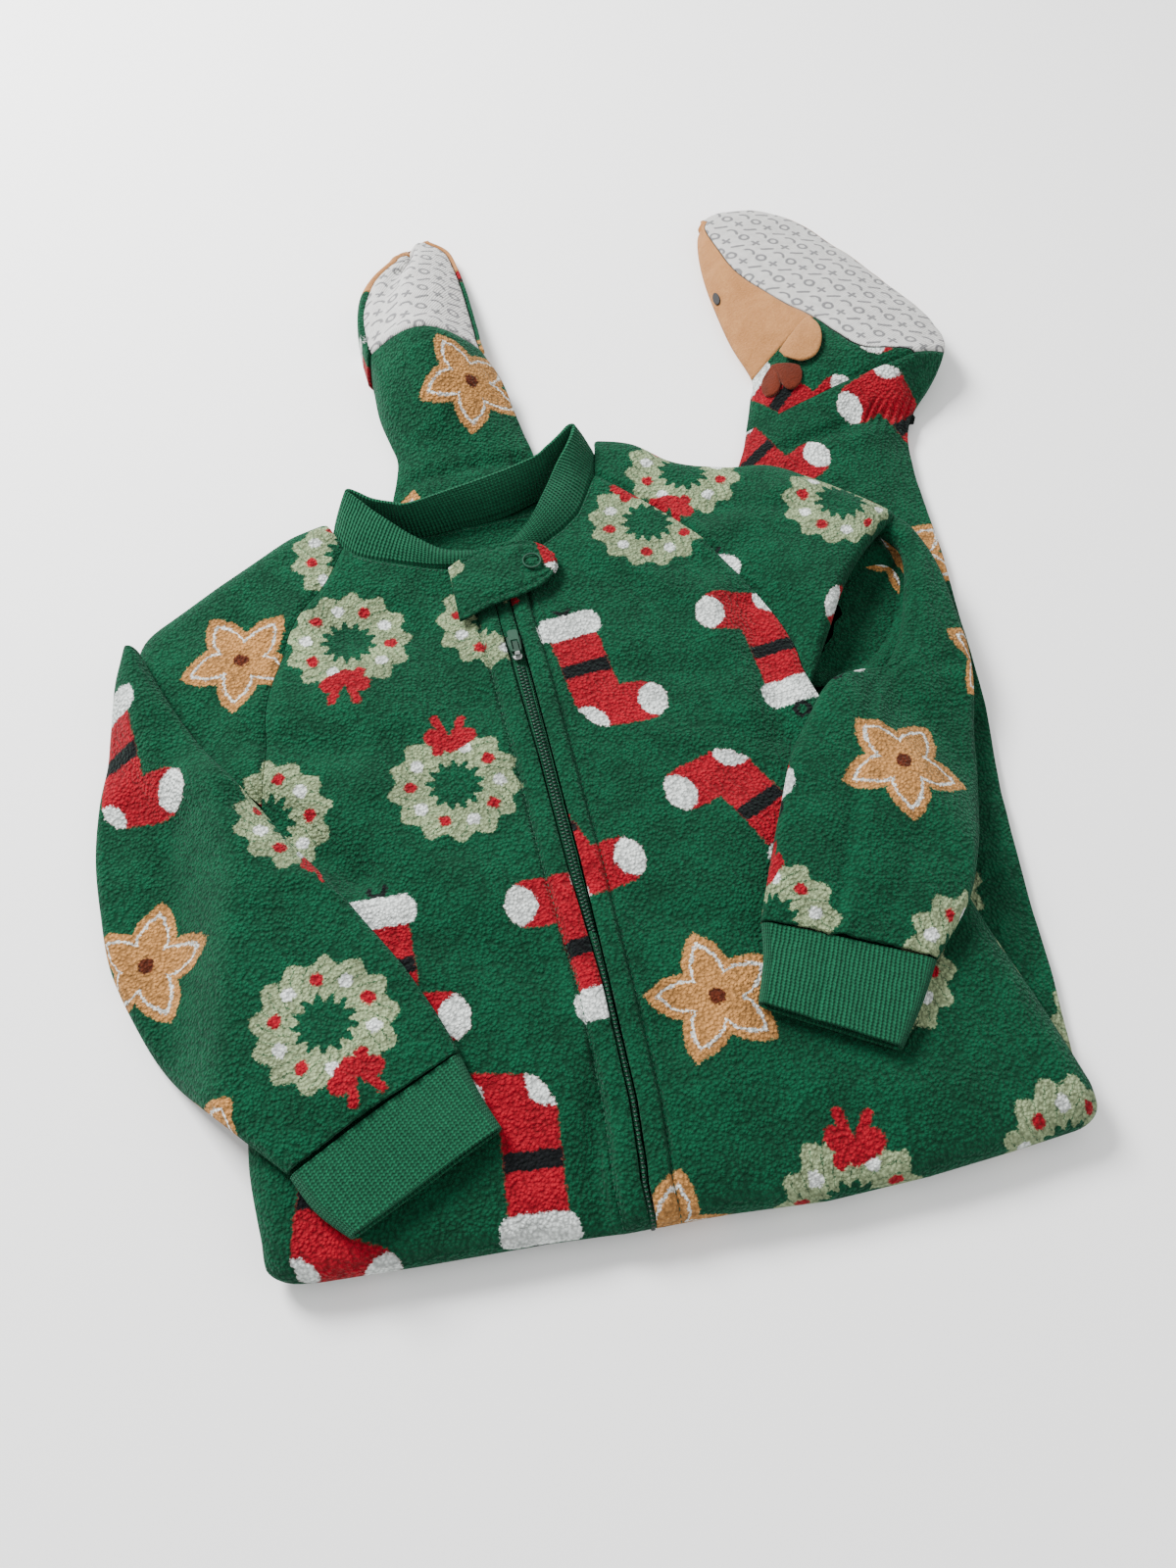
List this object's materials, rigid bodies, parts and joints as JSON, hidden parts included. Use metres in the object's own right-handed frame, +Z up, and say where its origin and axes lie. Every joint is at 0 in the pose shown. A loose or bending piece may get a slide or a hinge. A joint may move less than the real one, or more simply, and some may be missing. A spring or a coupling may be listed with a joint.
{
  "type": "footed onesie pajama",
  "caption": "Small child's footed zip pajama of fleece with a snap tab at the neck, folded in half and lying flat.",
  "frame": {"origin": "middle of the bounding box, on the surface that the folded garment lies on", "axes": "+Z up from the surface; +Y from the bottom fold towards the neck and the feet; +X towards the wearer's left side"},
  "size_m": [0.5006, 0.616, 0.04],
  "materials": {
    "fleece": "brushed fleece with a short nap, printed",
    "rib": "fine rib knit",
    "zip": "moulded nylon coil, slider and pull",
    "snap": "satin ring snap",
    "plush": "short plush",
    "sole": "gripper cloth with raised marks",
    "felt": "felt",
    "stitch": "satin stitch"
  },
  "bodies": {
    "garment": {"front_right": "fleece", "front_left": "fleece", "sleeve_right_upper": "fleece", "sleeve_left_upper": "fleece", "sleeve_right_forearm": "fleece", "sleeve_left_forearm": "fleece", "cuff_right": "rib", "cuff_left": "rib", "neck_band": "rib", "back": "fleece", "zip_coil": "zip", "zip_guard": "fleece", "zip_slider": "zip", "snap_tab": "fleece", "snap_ring": "snap", "toe_cap_left": "plush", "heel_left": "fleece", "sole_left": "sole", "leg_left": "fleece", "toe_cap_right": "plush", "heel_right": "fleece", "sole_right": "sole", "leg_right": "fleece", "ear": "plush", "antler": "felt", "eye": "stitch", "hidden_layers": "fleece"},
    "pull_tab": {"zip_pull": "zip"}
  },
  "joints": [
    {"name": "pull_hinge", "type": "hinge", "parent": "garment", "child": "pull_tab", "pos_m": [-0.03791, -0.02498, 0.0253], "axis": [1, 0, 0], "range_deg": [0, 150]}
  ]
}
